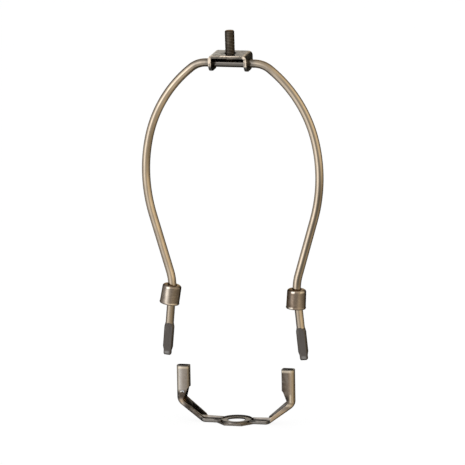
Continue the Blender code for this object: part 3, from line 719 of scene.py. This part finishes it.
def footRows():
    diameter = wire["diameter"]
    rows = []
    for k in range(wire["shoulderSteps"] + 1):
        share = k / wire["shoulderSteps"]
        eased = share * share * (3.0 - 2.0 * share)
        rows.append((
            wire["footLength"] + wire["footShoulder"] * (1.0 - share),
            diameter + (wire["footWidth"] - diameter) * eased,
            diameter + (wire["footThickness"] - diameter) * share,
            min(1.0, share * wire["bareReach"]),
        ))
    rows.append((wire["tipLength"] + wire["tipTaper"], wire["footWidth"], wire["footThickness"], 1.0))
    rows.append((wire["tipLength"], wire["tipWidth"], wire["tipThickness"], 1.0))
    for k in range(wire["tipSteps"] + 1):
        angle = math.pi / 2 * k / wire["tipSteps"]
        inset = wire["tipRound"] * (1.0 - math.cos(angle))
        height = wire["tipRound"] * (1.0 - math.sin(angle))
        rows.append((height, wire["tipWidth"] - 2 * inset, wire["tipThickness"] - 2 * inset, 1.0))
    return rows


def wireRows():
    stretches = wireStretches()
    total = sum(length for length, turn in stretches)
    rows = []
    done = 0.0
    for length, turn in stretches[:-1]:
        count = max(1, math.ceil(abs(turn) / math.radians(wire["turnStep"])))
        rows += [(done + length * k / count, wire["diameter"], wire["diameter"], 0.0) for k in range(count)]
        done += length
    rows.append((done, wire["diameter"], wire["diameter"], 0.0))
    return rows + [(total - height, width, thickness, bare) for height, width, thickness, bare in footRows()]


def buildWire():
    rows = wireRows()
    bm = bmesh.new()
    bareLayer = bm.verts.layers.float.new("bareSteel")
    barLayer = bm.verts.layers.float_vector.new("barCoords")  # the bar laid out straight, for its grain
    rings = []
    for mirror, chosen in ((-1.0, rows[:0:-1]), (1.0, rows)):
        for distance, width, thickness, bare in chosen:
            point, heading = wirePoint(distance)
            across = Vector((math.sin(heading), 0.0, math.cos(heading)))
            ring = []
            for aside, depth, bareness in wireSection(width, thickness):
                spot = point + across * aside
                vert = bm.verts.new((spot.x * mirror * mm, depth * mm, spot.z * mm))
                vert[bareLayer] = bare * bareness
                vert[barLayer] = Vector((aside, depth, distance * mirror)) * mm
                ring.append(vert)
            rings.append(ring)
    for near, far in zip(rings, rings[1:]):
        for k in range(len(near)):
            j = (k + 1) % len(near)
            bm.faces.new((near[k], near[j], far[j], far[k]))
    for ring in (rings[0], rings[-1]):
        bm.faces.new(ring)
    bmesh.ops.recalc_face_normals(bm, faces=bm.faces)
    mesh = bpy.data.meshes.new("bentWire")
    bm.to_mesh(mesh)
    bm.free()
    mesh.shade_smooth()
    mesh.set_sharp_from_angle(angle=math.radians(wire["sharp"]))
    finishPiece(linkObject("bentWire", mesh), "wireBrass", "harp", "harp_wire")


buildWire()

# ferrules: drawn cups, hung on the legs where their CAD nodes are

ferrule = {
    "height": 12.2, "topDiameter": 11.9, "skirtDiameter": 12.2, "beadDiameter": 12.6,
    "beadHeight": 0.9, "beadSlope": 1.6, "beadMiddle": 0.595, "beadRound": 0.3, "beadFoot": 0.35,
    "crownRadius": 1.5, "wall": 0.65, "rimBreak": 0.1, "holeDiameter": 5.99, "lip": 0.3,
    "steps": 96, "sharp": 50.0, "holeAboveTip": 44.9, "leans": {"ferrule_left": 5.0, "ferrule_right": 9.0},
}


def arcPoints(centreX, centreY, radius, start, end, steps):
    points = []
    for k in range(steps + 1):
        angle = math.radians(start + (end - start) * k / steps)
        points.append((centreX + radius * math.cos(angle), centreY + radius * math.sin(angle)))
    return points


def turnProfile(name, profile, steps, closed):
    bm = bmesh.new()
    verts = [bm.verts.new((r * mm, 0.0, z * mm)) for r, z in profile]
    edges = [bm.edges.new(pair) for pair in zip(verts, verts[1:])]
    if closed:
        edges.append(bm.edges.new((verts[-1], verts[0])))
    bmesh.ops.spin(bm, geom=verts + edges, cent=(0, 0, 0), axis=(0, 0, 1), angle=math.tau, steps=steps)
    bmesh.ops.remove_doubles(bm, verts=bm.verts, dist=1e-7)
    bmesh.ops.recalc_face_normals(bm, faces=bm.faces)
    mesh = bpy.data.meshes.new(name)
    bm.to_mesh(mesh)
    bm.free()
    mesh.shade_smooth()
    return mesh


def ferruleProfile():
    hole = ferrule["holeDiameter"] / 2
    skirt = ferrule["skirtDiameter"] / 2
    bead = ferrule["beadDiameter"] / 2
    crown = ferrule["crownRadius"]
    height = ferrule["height"]
    wall = ferrule["wall"]
    inner = skirt - wall
    centreX = ferrule["topDiameter"] / 2 - crown
    lip = ferrule["lip"]
    profile = arcPoints(hole + lip, height - lip, lip, 180, 90, steps=4)
    profile += arcPoints(centreX, height - crown, crown, 90, 0, steps=12)
    profile += [(skirt, ferrule["beadHeight"] + (bead - skirt) * ferrule["beadSlope"])]
    bend = ferrule["beadRound"]
    profile += arcPoints(bead - bend, ferrule["beadMiddle"], bend, 60, -70, steps=8)
    profile += [(bead - ferrule["beadFoot"], 0.0), (inner + ferrule["rimBreak"], 0.0)]
    profile += [(inner, ferrule["rimBreak"])]
    profile += arcPoints(centreX, height - crown, crown - wall, 0, 90, steps=8)
    profile += [(hole, height - wall)]
    return profile


def buildFerrule(name, node, side):
    total = sum(length for length, turn in wireStretches())
    hole = wirePoint(total - ferrule["holeAboveTip"])[0] * mm
    hole.x *= side
    heading = wirePoint(total)[1]
    lean = (heading - math.pi / 2) * side + math.radians(ferrule["leans"][node])
    drop = Matrix.Translation((0.0, 0.0, (ferrule["wall"] / 2 - ferrule["height"]) * mm))
    mesh = turnProfile(name, ferruleProfile(), ferrule["steps"], closed=True)
    mesh.transform(Matrix.Translation(hole) @ Matrix.Rotation(lean, 4, "Y") @ drop)
    mesh.set_sharp_from_angle(angle=math.radians(ferrule["sharp"]))
    finishPiece(linkObject(name, mesh), "darkBrass", node, node)


buildFerrule("leftFerrule", "ferrule_left", -1.0)
buildFerrule("rightFerrule", "ferrule_right", 1.0)

# sheet pieces: a merged copy of the CAD node, whose folds are smooth and whose cut edges are broken

sheet = {
    "mergeReach": 0.001, "flatLimit": 0.4, "sharp": 33.0, "edgeBreak": 0.12, "breakSteps": 2,
    "pieces": [  # name, node, finish, body and material slot
        ("shadeSeat", "swivel_bracket", "plateBrass", "swivel", "dark_brass"),
        ("saddle", "base_bracket", "saddleBrass", "base", "saddle_brass"),
    ],
}


def evaluatedMesh(piece):
    bpy.context.view_layer.update()
    evaluated = piece.evaluated_get(bpy.context.evaluated_depsgraph_get())
    return bpy.data.meshes.new_from_object(evaluated)


def mergedMesh(name, node):
    bm = bmesh.new()
    bm.from_mesh(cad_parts[node].data)
    bmesh.ops.remove_doubles(bm, verts=bm.verts, dist=sheet["mergeReach"] * mm)
    bmesh.ops.dissolve_limit(
        bm, angle_limit=math.radians(sheet["flatLimit"]), verts=bm.verts, edges=bm.edges,
    )
    bmesh.ops.recalc_face_normals(bm, faces=bm.faces)
    mesh = bpy.data.meshes.new(name)
    bm.to_mesh(mesh)
    bm.free()
    mesh.shade_smooth()
    mesh.set_sharp_from_angle(angle=math.radians(sheet["sharp"]))
    return mesh


def sheetCopy(name, node):
    copy = linkObject(name + "Copy", mergedMesh(name, node))
    bevel = copy.modifiers.new("edges", "BEVEL")
    bevel.width = sheet["edgeBreak"] * mm
    bevel.segments = sheet["breakSteps"]
    bevel.limit_method = "ANGLE"
    bevel.angle_limit = math.radians(sheet["sharp"])
    weighted = copy.modifiers.new("normals", "WEIGHTED_NORMAL")
    weighted.keep_sharp = True
    result = evaluatedMesh(copy)
    bpy.data.objects.remove(copy)
    return linkObject(name, result)


for name, node, finish, body, slot in sheet["pieces"]:
    finishPiece(sheetCopy(name, node), finish, body, node)

# shade stud: Geometry Nodes wrap a grid into the thread's helical surface

stud = {
    "diameter": 6.0, "chamfer": 0.6, "threadPitch": 0.94, "threadDepth": 0.16, "abovePlate": 14.3,
    "crestSlope": 2.4, "rootShare": 0.12,  # shape of one turn's profile
    "headDiameter": 8.0, "headThickness": 1.4, "headChamfer": 0.35, "clearance": 0.3,
    "footSunk": 0.2,  # into the head, so that no gap shows
    "around": 64, "along": 240, "endRow": 0.4999, "mergeReach": 0.004, "sharp": 45.0,
}


def geometryTree(name, inputs):
    tree = bpy.data.node_groups.new(name, "GeometryNodeTree")
    tree.interface.new_socket("Geometry", in_out="OUTPUT", socket_type="NodeSocketGeometry")
    for label, value in inputs.items():
        kind = "NodeSocketInt" if isinstance(value, int) else "NodeSocketFloat"
        if isinstance(value, bpy.types.Material):
            kind = "NodeSocketMaterial"
        tree.interface.new_socket(label, in_out="INPUT", socket_type=kind)
    return tree


def runTree(name, tree, inputs):
    holder = linkObject(name + "Maker", bpy.data.meshes.new(name + "Maker"))
    modifier = holder.modifiers.new(name, "NODES")
    modifier.node_group = tree
    for item in tree.interface.items_tree:
        if item.in_out == "INPUT":
            modifier[item.identifier] = inputs[item.name]
    mesh = evaluatedMesh(holder)
    bpy.data.objects.remove(holder)
    return mesh


def threadGroove(tree, turns, depth):
    wave = calc(tree, "PINGPONG", turns, 0.5)  # 0 at the root, 0.5 at the crest
    crest = calc(tree, "MINIMUM", product(tree, wave, stud["crestSlope"]), 1.0)
    crest = calc(tree, "MAXIMUM", calc(tree, "SUBTRACT", crest, stud["rootShare"]), 0.0)
    crest = product(tree, crest, 1.0 / (1.0 - stud["rootShare"]))
    return product(tree, calc(tree, "SUBTRACT", 1.0, crest), depth)


def threadTree(inputs):
    tree = geometryTree("threadedShank", inputs)
    given = addNode(tree, "NodeGroupInput").outputs
    grid = addNode(tree, "GeometryNodeMeshGrid", {
        "Size X": 1.0, "Size Y": 1.0, "Vertices X": given["Around"], "Vertices Y": given["Along"],
    })
    place = addNode(tree, "GeometryNodeInputPosition").outputs[0]
    parts = addNode(tree, "ShaderNodeSeparateXYZ", {0: place}).outputs
    share = calc(tree, "ADD", parts["X"], 0.5)
    angle = product(tree, share, math.tau)
    height = product(tree, calc(tree, "ADD", parts["Y"], 0.5), given["Length"])
    turns = calc(tree, "SUBTRACT", calc(tree, "DIVIDE", height, given["Pitch"]), share)
    radius = calc(tree, "SUBTRACT", given["Radius"], threadGroove(tree, turns, given["Depth"]))
    left = calc(tree, "SUBTRACT", given["Length"], height)
    bevel = calc(tree, "ADD", left, calc(tree, "SUBTRACT", given["Radius"], given["Chamfer"]))
    radius = calc(tree, "MINIMUM", radius, bevel)
    inner = calc(tree, "LESS_THAN", calc(tree, "ABSOLUTE", parts["Y"]), stud["endRow"])
    radius = product(tree, radius, inner)  # both end rows close on the axis
    turned = addNode(tree, "ShaderNodeCombineXYZ", {
        "X": product(tree, radius, calc(tree, "COSINE", angle)),
        "Y": product(tree, radius, calc(tree, "SINE", angle)),
        "Z": calc(tree, "ADD", height, given["Foot"]),
    }).outputs[0]
    made = grid.outputs[0]
    for kind, settings in (
        ("GeometryNodeSetPosition", {"Position": turned}),
        ("GeometryNodeMergeByDistance", {"Distance": stud["mergeReach"] * mm}),
        ("GeometryNodeRealizeInstances", {}),
        ("GeometryNodeSetMaterial", {"Material": given["Finish"]}),
    ):
        made = addNode(tree, kind, {"Geometry": made, **settings}).outputs[0]
    addNode(tree, "NodeGroupOutput", {"Geometry": made})
    return tree


def studHead(top):
    radius = stud["headDiameter"] / 2
    cut = stud["headChamfer"]
    bottom = top - stud["headThickness"]
    profile = [(0.0, top), (radius - cut, top)]
    profile += arcPoints(radius - cut, top - cut, cut, 80, 0, steps=5)
    profile += arcPoints(radius - cut, bottom + cut, cut, 0, -90, steps=6)
    profile += [(0.0, bottom)]
    return turnProfile("studHead", profile, stud["around"], closed=False)


def studShank(foot, top):
    inputs = {
        "Length": (top - foot) * mm, "Foot": foot * mm, "Radius": stud["diameter"] / 2 * mm,
        "Pitch": stud["threadPitch"] * mm, "Depth": stud["threadDepth"] * mm,
        "Chamfer": stud["chamfer"] * mm, "Around": stud["around"], "Along": stud["along"],
        "Finish": materials["studSteel"],
    }
    return runTree("threadedShank", threadTree(inputs), inputs)


def buildStud():
    headTop = swivel["plateAbove"] - swivel["sheet"] - stud["clearance"]
    top = swivel["plateAbove"] + stud["abovePlate"]
    bm = bmesh.new()
    bm.from_mesh(studShank(headTop - stud["footSunk"], top))
    bm.from_mesh(studHead(headTop))
    bmesh.ops.recalc_face_normals(bm, faces=bm.faces)
    mesh = bpy.data.meshes.new("shadeStud")
    bm.to_mesh(mesh)
    bm.free()
    lift = Matrix.Translation((0.0, 0.0, axisHeight * mm))
    mesh.transform(lift @ Matrix.Rotation(math.radians(swivel["tilt"]), 4, "X"))
    mesh.shade_smooth()
    mesh.set_sharp_from_angle(angle=math.radians(stud["sharp"]))
    finishPiece(linkObject("shadeStud", mesh), "studSteel", "swivel", "finial_stud")


buildStud()
